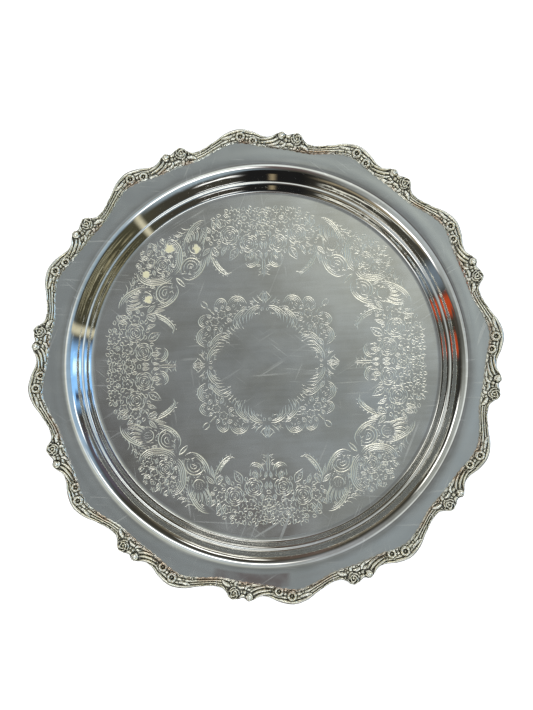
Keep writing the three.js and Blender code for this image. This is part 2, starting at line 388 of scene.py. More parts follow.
def draw_arches(cut):
    """The middle wreath's feathered arches, and the small leaves at its axis."""
    arch = [(2.4, 41.6), (7.0, 41.2), (11.6, 38.6), (14.6, 34.8)]
    cut.stroke(arch, 0.85)
    cut.strokes_beside(arch, (-1.3,), 0.62, 0.2)
    cut.fringe(arch, 1, 5, 2.6, 45, 0.5)
    for k in range(8):
        start = polar(86 - 5.3 * k, 40.6 - 0.5 * k)
        end = polar(73 - 3.6 * k, 33.4 - 0.6 * (k % 3) - 0.3 * k)
        bend = (start + end) / 2 + polar(50 - 4 * k, 2.0)
        cut.stroke([start, bend, end], 0.58)
        if k % 2:
            cut.stroke([start * 0.975, bend * 0.965, end * 1.02], 0.42)
    arch = [(13.4, 39.8), (17.8, 37.6), (21.4, 33.8), (23.0, 29.4)]
    cut.stroke(arch, 0.85)
    cut.strokes_beside(arch, (-1.2, -2.3), 0.58, 0.2)
    cut.fringe(arch, 1, 5, 3.0, 45, 0.5)
    cut.stroke([(19.6, 31.4), (20.6, 27.8), (18.8, 24.4)], 0.6)
    cut.stroke([(18.2, 30.6), (18.8, 27.4), (17.0, 24.8)], 0.45)
    cut.arc((20.4, 24.6), 1.8, -60, 150, 0.45)
    cut.leaf((1.0, 43.0), (0.6, 52.6), 2.0, 2)
    cut.stroke([(0.8, 44.4), (3.6, 46.6), (5.6, 49.4)], 0.65)
    cut.stroke([(3.4, 43.0), (6.8, 45.6), (8.6, 48.2)], 0.6)
    cut.spray((7.4, 42.6), 70, 4.8, 5, 90, -25, 0.5)
    cut.stroke([(0.5, 52.4), (2.6, 50.0), (5.0, 47.4)], 0.6)


def draw_centre(cut):
    """The wreath round the plain middle of the well, cut finer than the rest."""
    first = len(cut.strokes)
    draw_corner_lobes(cut)
    draw_arches(cut)
    wreath = [
        (1, 37), (9, 33), (17, 24), (25, 25.5), (36, 37), (34, 44), (27, 44), (19, 46), (9, 44), (1, 43),
    ]
    cut.fill(wreath, (16, 20), 700, 1.2, 3.0, 0.25)
    cut.strokes[first:] = [(line, width * FINER) for line, width in cut.strokes[first:]]


def draw_engraving():
    """All strokes of the eighth. Each part's filling keeps clear of what is already drawn."""
    cut = Engraving()
    for draw in (draw_cartouche, draw_paisley, draw_acanthus, draw_inner_curls, draw_bouquet, draw_centre):
        draw(cut)
    shell = [(59, 70), (64.5, 66), (84, 84.6), (80, 89), (74, 91), (68, 92), (62, 88), (58.5, 80)]
    cut.fill(shell, (66, 66), 500, 1.1, 2.8, 0.4)
    curls = [
        (41, 76), (46, 66), (54, 63), (59, 66), (59, 75), (56, 84), (57, 92), (50, 101), (42, 103),
        (42, 84),
    ]
    cut.fill(curls, (46, 70), 500, 1.15, 3.0, 0.1)
    return cut.strokes


def stroke_sides(line, width):
    """A stroke's half width at each point of its line, and its two sides."""
    part = np.linspace(0, 1, len(line))
    half = width / 2 * np.sin(np.pi * part**0.8) ** 0.7
    half[[0, -1]] = 0
    across = left_of(np.gradient(line, axis=0)) * half[:, None]
    return half, line + across, line - across


def cut_depth(places, strokes):
    """How deep the strokes cut at each place: a V section, with the deepest stroke winning."""
    depth = np.zeros(len(places))
    for line, width in strokes:
        half = stroke_sides(line, width)[0]
        near = np.all((places > line.min(0) - width) & (places < line.max(0) + width), axis=1)
        if not near.any():
            continue
        best = np.zeros(near.sum())
        for start, end, half_start, half_end in zip(line, line[1:], half, half[1:]):
            run = end - start
            off = places[near] - start
            part = np.clip(off @ run / (run @ run + 1e-12), 0, 1)
            away = np.linalg.norm(off - part[:, None] * run, axis=1)
            best = np.maximum(best, half_start + (half_end - half_start) * part - away)
        depth[near] = np.maximum(depth[near], best)
    return depth * CUT_SLOPE


def eighth_mesh(strokes):
    """The cut floor of one eighth: plan points, depths and triangles, with no face outside the wedge."""
    points, edges = [], []

    def chain(line, closed=False):
        first = len(points)
        points.extend(Vector(p) for p in line)
        count = len(line)
        edges.extend((first + k, first + k + 1) for k in range(count - 1))
        if closed:
            edges.append((first + count - 1, first))

    rim = polar(np.linspace(45, 90, EIGHTH_STEPS + 1), FIELD_RADIUS)
    rim[-1, 0] = 0
    rim[0] = rim[0].mean()
    chain(np.vstack([[0, 0], rim]), closed=True)
    for line, width in strokes:
        half, left, right = stroke_sides(line, width)
        chain(np.vstack([left, right[-2:0:-1]]), closed=True)
        chain(line[1:-1])
    spots, _, faces, *_ = delaunay_2d_cdt(points, edges, [], 0, 1e-5)
    places = np.array([spot[:] for spot in spots])
    faces = np.array([face for face in faces if len(face) == 3])
    middle = places[faces].mean(axis=1)
    a, b, c = (places[faces[:, k]] for k in (0, 1, 2))
    area = np.cross(b - a, c - a)
    wanted = (middle[:, 0] > 0) & (middle[:, 1] > middle[:, 0]) & (np.abs(area) > 1e-9)
    wanted &= np.linalg.norm(middle, axis=1) < FIELD_RADIUS
    faces = np.where((area > 0)[:, None], faces, faces[:, ::-1])[wanted]
    used, faces = np.unique(faces, return_inverse=True)
    faces = faces.reshape(-1, 3)
    places = places[used]
    return places, cut_depth(places, strokes), faces


def field_mesh():
    """The whole cut floor: the eighth mirrored and turned, with the shared points merged."""
    plan, depth, faces = eighth_mesh(draw_engraving())
    plan[np.abs(plan[:, 0]) < SNAP, 0] = 0
    on_diagonal = np.abs(plan[:, 0] - plan[:, 1]) < SNAP
    plan[on_diagonal] = plan[on_diagonal].mean(axis=1)[:, None]
    all_plan, all_depth, all_faces = [], [], []
    for turn in range(4):
        for mirror in (1, -1):
            x, y = plan[:, 0] * mirror, plan[:, 1]
            for _ in range(turn):
                x, y = -y, x
            first = sum(len(p) for p in all_plan)
            all_plan.append(np.stack([x, y], axis=1))
            all_depth.append(depth)
            all_faces.append(faces[:, ::mirror] + first)
    plan, depth, faces = np.vstack(all_plan), np.concatenate(all_depth), np.vstack(all_faces)
    keys = np.round(plan * MERGE_GRID).astype(np.int64)
    _, kept, merged = np.unique(keys, axis=0, return_index=True, return_inverse=True)
    faces = merged.reshape(-1)[faces]
    whole = (faces[:, 0] != faces[:, 1]) & (faces[:, 1] != faces[:, 2]) & (faces[:, 2] != faces[:, 0])
    return plan[kept], depth[kept], faces[whole]


# ---- The tray's sheet ----
WALL_STEPS = 14  # rings in each of the side's two bends
FLANGE_STEPS = 10
CROWN = 0.08
CROWN_WIDTH = 9.0
UNDER_SKIP = 3  # the underside keeps every third ring
RIM_SEGMENTS = 8 * EIGHTH_STEPS
EDGE_INSET = 0.25
# The sheet's rounded edge from its top to its underside: distance in, distance down.
EDGE_ROUND = [(0.07, 0.18), (0, 0.45), (0, 0.75), (0.07, 1.02), (EDGE_INSET, SHEET)]
UNDERSIDE_RADII = (FIELD_RADIUS, 80, 40, 12)


def bezier(a, b, c, d, steps):
    """Points along a cubic curve with these four control points."""
    t = np.linspace(0, 1, steps + 1)[:, None]
    a, b, c, d = (np.array(p, float) for p in (a, b, c, d))
    return (1 - t) ** 3 * a + 3 * (1 - t) ** 2 * t * b + 3 * (1 - t) * t**2 * c + t**3 * d


def flange_height(radius):
    """Height of the flange's top, which rises evenly from the shoulder."""
    return SHOULDER_HEIGHT + (radius - SHOULDER_RADIUS) * FLANGE_RISE


def crowned(radius):
    """The flange's slight outward bow between the shoulder and the mounts."""
    part = np.clip((radius - SHOULDER_RADIUS) / CROWN_WIDTH, 0, 1)
    return flange_height(radius) + CROWN * np.sin(np.pi * part)


def edge_radius(edge, degrees):
    """An edge's radius at angles past the seam, smooth through its points all the way round."""
    at = np.array([[turn * PITCH + d, r] for turn in (-1, 0, 1, 2) for d, r in edge])
    slope = np.gradient(at[:, 1], at[:, 0])
    degrees = np.mod(degrees, PITCH)
    k = np.clip(np.searchsorted(at[:, 0], degrees, side="right") - 1, 0, len(at) - 2)
    run = at[k + 1, 0] - at[k, 0]
    t = (degrees - at[k, 0]) / run
    lift = (2 * t**3 - 3 * t**2 + 1) * at[k, 1] + (3 * t**2 - 2 * t**3) * at[k + 1, 1]
    return lift + (t**3 - 2 * t**2 + t) * run * slope[k] + (t**3 - t**2) * run * slope[k + 1]


def side_line():
    """The sheet's middle line from the well floor's edge to the shoulder, as (radius, height)."""
    middle = SHEET / 2
    step = STEP_HEIGHT - middle
    bend = SHOULDER_RADIUS - SHOULDER_BEND
    low = bezier(
        (WELL_RADIUS, middle),
        (WELL_RADIUS + CREASE_BEND, middle),
        (STEP_RADIUS - CREASE_BEND, step),
        (STEP_RADIUS, step),
        WALL_STEPS,
    )
    high = bezier(
        (STEP_RADIUS, step),
        (STEP_RADIUS + CREASE_BEND, step),
        (bend, flange_height(bend) - middle),
        (SHOULDER_RADIUS, SHOULDER_HEIGHT - middle),
        WALL_STEPS,
    )
    return np.vstack([low, high[1:]])


def offset_line(line, distance):
    """The line moved sideways by a distance, square to itself, with its ends kept level and sloped."""
    along = np.gradient(line, axis=0)
    along[0] = (1, 0)
    along[-1] = (1, FLANGE_RISE)
    return line + left_of(along) * distance


def tray_rings():
    """Rings of (radii, heights) round the tray, from the field's rim over its edge and back to the axis."""
    degrees = np.arange(RIM_SEGMENTS) * 360 / RIM_SEGMENTS
    edge = edge_radius(SHEET_EDGE, degrees - FIRST_SEAM)
    over = offset_line(side_line(), SHEET / 2)
    under = offset_line(side_line(), -SHEET / 2)[::-UNDER_SKIP]
    full = np.ones(RIM_SEGMENTS)
    rings = [(full * FIELD_RADIUS, full * SHEET)]
    rings += [(full * r, full * z) for r, z in over]
    parts = np.linspace(0, 1, FLANGE_STEPS + 1)[1:]
    for part in parts:
        radius = over[-1, 0] + (edge - EDGE_INSET - over[-1, 0]) * part
        rings.append((radius, crowned(radius)))
    for inset, drop in EDGE_ROUND:
        rings.append((edge - inset, flange_height(edge - inset) - drop))
    for part in parts[-3::-2]:
        radius = under[0, 0] + (edge - EDGE_INSET - under[0, 0]) * part
        rings.append((radius, flange_height(radius) - SHEET))
    rings += [(full * r, full * max(z, 0)) for r, z in under]
    rings += [(full * r, full * 0) for r in UNDERSIDE_RADII]
    return degrees, rings


def tray_arrays():
    """The tray's points, faces, and how deep each point lies in a cut, from 0 to 1."""
    plan, depth, field = field_mesh()
    degrees, rings = tray_rings()
    circle = polar(degrees, 1.0)
    layers = [np.column_stack([circle * r[:, None], z]) for r, z in rings]
    ring_points = np.vstack([*layers, [[0, 0, 0]]])
    count = RIM_SEGMENTS
    here = np.arange(count)
    ahead = (here + 1) % count
    quads = []
    for k in range(len(rings) - 1):
        a, b = k * count, (k + 1) * count
        quads.append(np.column_stack([a + here, b + here, b + ahead, a + ahead]))
    last = (len(rings) - 1) * count
    hub = np.column_stack([last + here, np.full(count, len(ring_points) - 1), last + ahead])
    # The field's rim points are the first ring's, so each is looked up by its angle.
    on_rim = np.linalg.norm(plan, axis=1) > FIELD_RADIUS - 1e-3
    slot = np.round(np.degrees(np.arctan2(plan[:, 1], plan[:, 0])) * count / 360).astype(int) % count
    number = np.empty(len(plan), int)
    number[on_rim] = slot[on_rim]
    number[~on_rim] = len(ring_points) + np.arange((~on_rim).sum())
    floor = np.column_stack([plan[~on_rim], SHEET - depth[~on_rim]])
    points = np.vstack([ring_points, floor])
    cut = np.concatenate([np.zeros(len(ring_points)), depth[~on_rim] / max(depth.max(), 1e-9)])
    return points, np.vstack(quads), np.vstack([hub, number[field]]), cut


def build_mesh(name, points, faces, values, smooth):
    """A mesh in metres from arrays: faces of several sizes, named values on its points."""
    mesh = bpy.data.meshes.new(name)
    loops = np.concatenate([group.reshape(-1) for group in faces])
    sizes = np.concatenate([np.full(len(group), group.shape[1]) for group in faces])
    rounded = np.concatenate([np.full(len(group), flag) for group, flag in zip(faces, smooth)])
    mesh.vertices.add(len(points))
    mesh.vertices.foreach_set("co", (points * MM).astype(np.float32).reshape(-1))
    mesh.loops.add(len(loops))
    mesh.loops.foreach_set("vertex_index", loops.astype(np.int32))
    mesh.polygons.add(len(sizes))
    mesh.polygons.foreach_set("loop_start", np.concatenate([[0], np.cumsum(sizes)[:-1]]).astype(np.int32))
    mesh.polygons.foreach_set("use_smooth", rounded.astype(bool))
    for value, numbers in values.items():
        attribute = mesh.attributes.new(value, "FLOAT", "POINT")
        attribute.data.foreach_set("value", np.asarray(numbers, np.float32))
    mesh.update(calc_edges=True)
    return mesh


def place_piece(name, mesh, node):
    """An object made from the mesh, in place of a CAD node."""
    piece = bpy.data.objects.new(name, mesh)
    bpy.context.collection.objects.link(piece)
    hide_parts(node)
    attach(piece, "root")


def build_tray(material):
    """The engraved sheet: smooth all over, but for the flat facets of its cut floor."""
    points, quads, triangles, cut = tray_arrays()
    mesh = build_mesh("tray", points, [quads, triangles], {"cut": cut}, [True, False])
    mesh.materials.append(material)
    place_piece("engraved_tray", mesh, "tray_body")


# ---- The cast mounts ----
MOUNT_STEPS = 440  # sections round a mount
MOUNT_ACROSS = 60  # points across its top
MOUNT_GAP = 0.07  # degrees left open at a seam
SEAT = 0.03  # a mount stands this far clear of the flange
ROUNDING = 0.9  # how far in from its edges the top rounds over
EDGE_LEVEL = 0.45  # height of its top right at its edges
CROWDING = 0.55  # how far the points across crowd towards its edges
NOTCH_PITCH = 1.7  # degrees from one notch of its inner edge to the next
NOTCH_DEPTH = 0.18
RECESS_STEPS = 6  # points over which a recess is told from its surroundings
RECESS_DEPTH = 0.6  # depth below its surroundings at which a recess is darkest
INNER_SIDE = 3.5  # width of the coppery zone along its inner edge
# A mount's edges as (degrees past its seam, radius).
CARRIER_OUTER = [
    (0, 155.7), (2.2, 156.5), (3.0, 158.4), (3.8, 160.9), (4.7, 161.8), (5.8, 161.8),
    (6.7, 160.7), (7.2, 160.4), (7.9, 161.2), (8.6, 162.0), (9.4, 161.6), (10.1, 160.4),
    (10.9, 159.1), (12.0, 158.5), (13.2, 158.9), (16, 162.5), (19.3, 164.9), (22.5, 163.3),
    (26, 158.8),
]
CARRIER_INNER = [(0, 149.6), (7, 149.8), (13, 151.1), (21, 155.2), (26, 152.4)]
# Reeds across the band, as (start, end, height), counted inwards over its width.
SCROLL_REEDS = [(0.0, 0.25, 2.3), (0.31, 0.47, 1.8), (0.53, 0.74, 1.7), (0.81, 1.0, 1.8)]
SCOOP_REEDS = [(0.0, 0.2, 2.2), (0.26, 0.45, 2.0), (0.51, 0.7, 1.8), (0.77, 1.0, 1.7)]
SCOOP = (8, 16)  # degrees past the seam between which the scoop's reeds run
GROOVE = 0.3  # height of the ground between reeds
MOAT = 0.45  # width of the sunken ground left round each ornament
ROSE = ((4.75, 157.8), 4.4)
# A rose's rings of petals: petals, reach, height at the rim, turn of the first petal.
ROSE_RINGS = [(4, 1.0, 3.1, 0.1), (3, 0.62, 3.85, 0.5)]
DAISIES = [((16.0, 155.4), 3.3, 3.4, 5, 10), ((19.1, 159.1), 3.5, 3.8, 6, 0)]
CURL = ((8.65, 159.6), 2.75, 3.9)  # the leaf's curled tip: place, radius, height
# Leaves and ribs on a mount: line of the midrib, half width, height, veins.
MOUNT_LEAVES = [
    ([(9.9, 160.3), (11.0, 158.0), (12.6, 156.7), (14.6, 156.6)], 0.95, 3.3, 0),
    ([(9.5, 157.4), (10.6, 155.7), (12.2, 154.6), (13.9, 154.3)], 0.9, 3.1, 0),
    ([(9.0, 155.6), (9.9, 153.8), (11.2, 152.6), (12.8, 152.1)], 0.85, 2.8, 0),
    ([(7.6, 154.2), (7.9, 152.5), (8.9, 151.3)], 1.0, 2.8, 3),
    ([(3.4, 153.6), (2.2, 152.4), (1.4, 150.6)], 1.3, 2.9, 3),
    ([(5.0, 153.2), (4.8, 151.6), (5.4, 150.3)], 1.1, 2.6, 2),
    ([(1.9, 157.6), (1.1, 156.0), (0.3, 155.2)], 1.1, 3.0, 3),
    ([(14.6, 152.4), (13.6, 152.0), (12.6, 151.4)], 0.9, 2.4, 2),
    ([(20.9, 155.6), (21.9, 155.2), (23.2, 154.0)], 1.1, 2.9, 3),
    ([(21.2, 160.2), (22.4, 159.6), (23.9, 159.4)], 1.0, 3.1, 2),
    ([(24.4, 153.4), (25.6, 152.6), (26.9, 151.7)], 1.15, 2.7, 3),
    ([(26.4, 158.9), (27.8, 156.9), (29.4, 155.1)], 1.0, 3.1, 3),
]
# Round knobs: place, radius, height.
KNOBS = [
    ((7.45, 156.4), 1.35, 3.5),
    ((18.3, 155.9), 0.8, 2.6),
    ((14.2, 154.4), 0.7, 2.6),
    ((21.9, 157.6), 0.8, 2.6),
    ((2.9, 155.6), 0.75, 2.6),
    ((24.0, 155.2), 0.7, 2.4),
    ((3.6, 151.2), 0.7, 2.4),
    ((6.6, 151.6), 0.7, 2.4),
]


def dome(reach):
    """A round top of height 1 that falls to 0 where reach comes to 1."""
    return np.sqrt(np.clip(1 - reach**2, 0, 1))


def about(places, spot):
    """Distance and angle of places round a spot given as (degrees past the seam, radius)."""
    away = places - polar(*spot)
    return np.hypot(away[..., 0], away[..., 1]), np.degrees(np.arctan2(away[..., 1], away[..., 0]))


def rose_height(places):
    """Rings of petals, each with a raised rim that tucks under the next petal of its ring."""
    spot, radius = ROSE
    away, angle = about(places, spot)
    reach = away / radius
    height = np.zeros(reach.shape)
    for count, rim, top, phase in ROSE_RINGS:
        part = np.mod(angle * count / 360 + phase, 1)
        within = rim * (1 - 0.26 * part**1.5) - reach
        petal = (top - 0.6 * part) * np.clip(within / 0.06, 0, 1) ** 0.5
        petal -= 2.2 * np.clip((within - 0.15) / 0.13, 0, 1)
        height = np.maximum(height, np.where(within > 0, petal, 0))
    return np.maximum(height, 3.7 * dome(reach / 0.24))


def daisy_height(places, spot, radius, top, petals, turn):
    """A thick ring of petals round a sunken eye with a button in it."""
    away, angle = about(places, spot)
    reach = away / radius
    lobe = np.abs(np.cos(np.radians((angle + turn) * petals / 2)))
    ring = top * dome((reach - 0.68) / (0.25 + 0.08 * lobe)) ** 0.7 * (0.7 + 0.3 * lobe**0.5)
    eye = np.where(reach < 0.6, 0.5 + 1.9 * dome(reach / 0.19), 0)
    return np.maximum(ring, eye)


def curl_height(places, spot, radius, top):
    """A leaf's tip rolled up into a round knob, with the roll's groove winding into it."""
    away, angle = about(places, spot)
    reach = away / radius
    wind = np.mod(angle - spot[0] + 120, 360) / 360
    groove = np.exp(-(((reach - 0.3 - 0.55 * wind) / 0.09) ** 2))
    return np.where(reach < 1, top * dome(reach) ** 0.8 - 1.1 * groove * np.clip(wind * 5, 0, 1), 0)


def beside_line(places, line):
    """How far along a line each place lies, from 0 to 1, and its distance to the line's left."""
    line = smooth_line(np.array([polar(*spot) for spot in line]), 12)
    best = np.full(places.shape[:-1], np.inf)
    along, aside = np.zeros(best.shape), np.zeros(best.shape)
    for k, (a, b) in enumerate(zip(line, line[1:])):
        run = b - a
        t = np.clip((places - a) @ run / (run @ run), 0, 1)
        off = places - a - t[..., None] * run
        away = np.hypot(off[..., 0], off[..., 1])
        nearer = away < best
        side = np.sign(run[0] * off[..., 1] - run[1] * off[..., 0])
        best = np.where(nearer, away, best)
        along = np.where(nearer, (k + t) / (len(line) - 1), along)
        aside = np.where(nearer, away * side, aside)
    return along, aside


def leaf_height(places, line, half_width, top, veins):
    """A rounded leaf with a grooved midrib and slanting veins, or a plain rib where it has no veins."""
    along, aside = beside_line(places, line)
    wide = half_width * np.sin(np.pi * (0.12 + 0.85 * along)) ** 0.6
    off = np.abs(aside) / wide
    body = top * (0.5 + 0.5 * dome(off))
    if veins:
        body -= 0.6 * np.exp(-((aside / 0.25) ** 2))
        body -= 0.5 * np.abs(np.cos(np.pi * (veins * along - 0.9 * off))) ** 4 * np.clip(off * 2, 0, 1)
    height = np.where(off < 1, body * np.clip((1 - off) / 0.12, 0, 1) ** 0.5, 0)
    return height, np.abs(aside) < wide + MOAT


def reed_height(part, reeds):
    """The reeds' height at a place's part of the band's width, counted inwards."""
    height = np.full(part.shape, GROOVE)
    for start, end, top in reeds:
        height = np.maximum(height, top * dome((2 * part - start - end) / (end - start)))
    return height


def carrier_reach(degrees, radius):
    """The part of the band's width inwards of its outer edge, and whether a place is on the band."""
    outer = edge_radius(CARRIER_OUTER, degrees)
    inner = edge_radius(CARRIER_INNER, degrees)
    part = (outer - radius) / (outer - inner)
    return part, part > -0.02


def mount_height(degrees, radius):
    """Height of the mount's top over the flange."""
    places = polar(degrees, radius)
    part, on_band = carrier_reach(degrees, radius)
    in_scoop = (degrees > SCOOP[0]) & (degrees < SCOOP[1])
    height = np.where(in_scoop, reed_height(part, SCOOP_REEDS), reed_height(part, SCROLL_REEDS))
    height = np.where(on_band, height, GROOVE)
    for spot, size, top in KNOBS:
        away = about(places, spot)[0]
        height = np.where(away < size + MOAT, top * dome(away / size), height)
    for leaf in MOUNT_LEAVES:
        raised, near = leaf_height(places, *leaf)
        height = np.where(near, raised, height)
    for spot, size, *shape in DAISIES:
        near = about(places, spot)[0] < size + MOAT
        height = np.where(near, daisy_height(places, spot, size, *shape), height)
    height = np.where(about(places, ROSE[0])[0] < ROSE[1] + MOAT, rose_height(places), height)
    height = np.where(about(places, CURL[0])[0] < CURL[1] + MOAT, curl_height(places, *CURL), height)
    return np.maximum(height, GROOVE)


def far_side(degrees, spot, size):
    """Radius at which a ray at these degrees leaves a round ornament, or 0 where it misses."""
    along = spot[1] * np.cos(np.radians(degrees - spot[0]))
    aside = spot[1] * np.sin(np.radians(degrees - spot[0]))
    return np.where(np.abs(aside) < size, along + np.sqrt(np.clip(size**2 - aside**2, 0, None)), 0)


def mount_edges(degrees):
    """The inner and outer radius of the mount's outline."""
    outer = edge_radius(CARRIER_OUTER, degrees)
    outer = np.maximum(outer, far_side(degrees, *ROSE))
    outer = np.maximum(outer, far_side(degrees, *CURL[:2]))
    inner = edge_radius(CARRIER_INNER, degrees)
    return inner + NOTCH_DEPTH * np.cos(np.radians(degrees * 360 / NOTCH_PITCH)), outer


def blurred(grid, steps):
    """The grid with each value averaged over this many steps to every side."""
    for axis in (0, 1):
        padded = np.pad(grid, [(steps, steps) if k == axis else (0, 0) for k in (0, 1)], mode="edge")
        total = np.cumsum(padded, axis=axis)
        ahead = np.take(total, range(2 * steps, total.shape[axis]), axis=axis)
        behind = np.take(total, range(0, total.shape[axis] - 2 * steps), axis=axis)
        grid = (ahead - behind) / (2 * steps)
    return grid


# The mount's back, from its outer edge to its inner one: distance in from the edge, height.
MOUNT_BACK = [(0.05, 0.3), (0.35, -0.15), (0.9, -0.38), (1.7, -0.38), (2.5, -0.1), (3.0, SEAT)]


def mount_top(degrees, inner, outer):
    """Radius and height of the mount's top over its whole grid, rounded over at its edges."""
    part = np.linspace(0, 1, MOUNT_ACROSS + 1)
    part = part - CROWDING / (2 * np.pi) * np.sin(2 * np.pi * part)
    radius = inner + (outer - inner) * part
    height = mount_height(degrees + 0 * radius, radius)
    edge = np.clip(np.minimum(radius - inner, outer - radius) / ROUNDING, 0, 1)
    rounded = EDGE_LEVEL + (height - EDGE_LEVEL) * np.sqrt(1 - (1 - edge) ** 2)
    height = np.where(edge < 1, rounded, height)
    height[:, 0] = SEAT
    return radius, height


def mount_arrays():
    """One mount as a closed skin of sections over its top and back, and its points' named values."""
    degrees = np.linspace(MOUNT_GAP / 2, PITCH - MOUNT_GAP / 2, MOUNT_STEPS + 1)[:, None]
    inner, outer = mount_edges(degrees)
    radius, height = mount_top(degrees, inner, outer)
    recess = np.clip((blurred(height, RECESS_STEPS) - height) / RECESS_DEPTH, 0, 1)
    back_radius = np.hstack([outer - distance for distance, _ in MOUNT_BACK] + [inner + 0.3])
    back_height = np.array([level for _, level in MOUNT_BACK] + [SEAT]) + 0 * back_radius
    radius = np.hstack([radius, back_radius])
    height = np.hstack([height, back_height])
    plan = polar(degrees + 0 * radius, radius)
    points = np.concatenate([plan, (flange_height(radius) + height)[..., None]], axis=2).reshape(-1, 3)
    count = radius.shape[1]
    first = (np.arange(MOUNT_STEPS) * count)[:, None]
    here, ahead = first + np.arange(count), first + np.roll(np.arange(count), -1)
    quads = np.stack([ahead, ahead + count, here + count, here], axis=2).reshape(-1, 4)
    ends = np.stack([np.arange(count), MOUNT_STEPS * count + np.arange(count)[::-1]])
    recess = np.hstack([recess, 0 * back_radius])
    tint = np.clip(1 - (radius - inner) / INNER_SIDE, 0, 1)
    values = {"recess": recess.reshape(-1), "inner_side": tint.reshape(-1)}
    return points, [quads, ends], values


def build_mounts(material):
    """The twelve mounts, turned one pitch on from each other."""
    points, faces, values = mount_arrays()
    for k in range(SECTIONS):
        turn = math.radians(FIRST_SEAM + k * PITCH)
        cosine, sine = math.cos(turn), math.sin(turn)
        turned = points @ np.array([[cosine, sine, 0], [-sine, cosine, 0], [0, 0, 1]])
        name = f"{k + 1:02d}"
        mesh = build_mesh(f"mount_{name}", turned, faces, values, [True, False])
        mesh.materials.append(material)
        place_piece(f"cast_mount_{name}", mesh, f"border_section_{name}")


# ---- Materials ----
class Shading:
    """The nodes of one material or world, added by type with their inputs' values or links."""

    def __init__(self, owner):
        owner.use_nodes = True
        self.owner = owner
        self.tree = owner.node_tree
        self.tree.nodes.clear()

    def add(self, kind, inputs=None, **settings):
        """A new node, with its settings and with its inputs set or linked."""
        node = self.tree.nodes.new(kind)
        for name, value in settings.items():
            setattr(node, name, value)
        for name, value in (inputs or {}).items():
            if isinstance(value, bpy.types.NodeSocket):
                self.tree.links.new(value, node.inputs[name])
            else:
                node.inputs[name].default_value = value
        return node

    def math(self, operation, a, b=0.0):
        """The result of a sum on one or two values."""
        return self.add("ShaderNodeMath", {0: a, 1: b}, operation=operation).outputs[0]

    def times(self, a, b):
        return self.math("MULTIPLY", a, b)

    def plus(self, a, b):
        return self.math("ADD", a, b)

    def minus(self, a, b):
        return self.math("SUBTRACT", a, b)

    def vector(self, operation, a, b):
        """The outputs of a sum on two vectors."""
        return self.add("ShaderNodeVectorMath", {0: a, 1: b}, operation=operation).outputs

    def remap(self, value, low, high, start=0.0, end=1.0):
        """The value carried smoothly from low..high to start..end, and held beyond."""
        ends = {"Value": value, "From Min": low, "From Max": high, "To Min": start, "To Max": end}
        return self.add("ShaderNodeMapRange", ends, interpolation_type="SMOOTHSTEP").outputs[0]

    def blend(self, part, a, b):
        """The colour a, going over to b as part goes from 0 to 1."""
        a, b = ((*end, 1) if isinstance(end, tuple) else end for end in (a, b))
        return self.add("ShaderNodeMix", {0: part, 6: a, 7: b}, data_type="RGBA").outputs[2]

    def noise(self, scale, detail=3.0, stretch=1.0, turn=0.0, offset=0.0):
        """Noise over the object's own coordinates, in metres, stretched along a direction in its plan."""
        place = self.add("ShaderNodeTexCoord").outputs["Object"]
        moved = {"Vector": place, "Location": (offset, offset, 0), "Scale": (stretch, 1, 1)}
        moved["Rotation"] = (0, 0, math.radians(turn))
        mapped = self.add("ShaderNodeMapping", moved, vector_type="TEXTURE").outputs[0]
        return self.add("ShaderNodeTexNoise", {"Vector": mapped, "Scale": scale, "Detail": detail}).outputs[0]

    def named(self, name):
        """A value stored on the mesh's points."""
        return self.add("ShaderNodeAttribute", attribute_name=name).outputs["Fac"]

    def surface(self, inputs):
        """The finished material, with these inputs to its shader."""
        shader = self.add("ShaderNodeBsdfPrincipled", inputs)
        self.add("ShaderNodeOutputMaterial", {"Surface": shader.outputs[0]})
        return self.owner


SCRATCH_TURNS = (2, 31, 67, 98, 141, 176)  # directions of the wear marks over the tray
SCRATCH_LENGTH = 28.0  # length over width
# Dried polish left in the engraving: place and radius.
RESIDUE = [((-67.2, 83.9), 3.4), ((-48.0, 83.5), 3.2), ((-83.9, 65.8), 2.8), ((-82.9, 47.4), 3.2)]
RESIDUE_EDGE = 1.2  # width over which it thins out
RESIDUE_RAGGED = 7.0  # how far its outline wanders
SIDE_HALF = (7.5, 12)  # half width of the shiny side, and where its shine has faded out
FLANGE_REFLECTION_RADII = (139, 146)  # the flange's painted bluish reflection fades in between these radii
# A painted reflection on the flange, a soft reddish patch: azimuth and radius of its middle, its reach, and
# its band's width.
REDDISH_REFLECTION_AT = (265, 148)
REDDISH_REFLECTION_REACH = (23, 28)
REDDISH_REFLECTION_BAND = 148.5
REDDISH_REFLECTION_HALF = (3.5, 5.5)
# Colours of the sheet, from the polished metal to the marks on it; the flange's bluish tint and the reddish
# patch are painted reflections.
POLISHED = (0.665, 0.67, 0.66)
CLOUDED = (0.52, 0.51, 0.475)
FLANGE_REFLECTION_TINT = (0.66, 0.69, 0.69)
REDDISH_REFLECTION_COLOUR = (0.37, 0.31, 0.30)
SCRATCHED = (0.88, 0.88, 0.86)
BRIGHT_CUT = (0.70, 0.67, 0.55)
DRIED_POLISH = (0.42, 0.40, 0.27)
# Colours of the castings.
RUBBED = (0.99, 0.965, 0.87)
DULLED = (0.94, 0.905, 0.78)
COPPERY = (0.62, 0.42, 0.28)
PATINA = (0.05, 0.045, 0.033)


def scratches(look):
    """Fine wear marks in several directions, from 0 to 1."""
    marks = None
    for k, turn in enumerate(SCRATCH_TURNS):
        streak = look.noise(420 + 60 * k, 1.0, SCRATCH_LENGTH, turn, 3.1 * k)
        patch = look.remap(look.noise(22, 2.0, offset=7.7 * k), 0.5, 0.62)
        mark = look.times(look.remap(streak, 0.66, 0.74), patch)
        marks = mark if marks is None else look.math("MAXIMUM", marks, mark)
    return marks


def away_from(look, spot):
    """Distance in the plan view from a spot given in mm."""
    place = look.add("ShaderNodeTexCoord").outputs["Object"]
    flat = look.vector("MULTIPLY", place, (1, 1, 0))[0]
    return look.vector("DISTANCE", flat, (spot[0] * MM, spot[1] * MM, 0))["Value"]


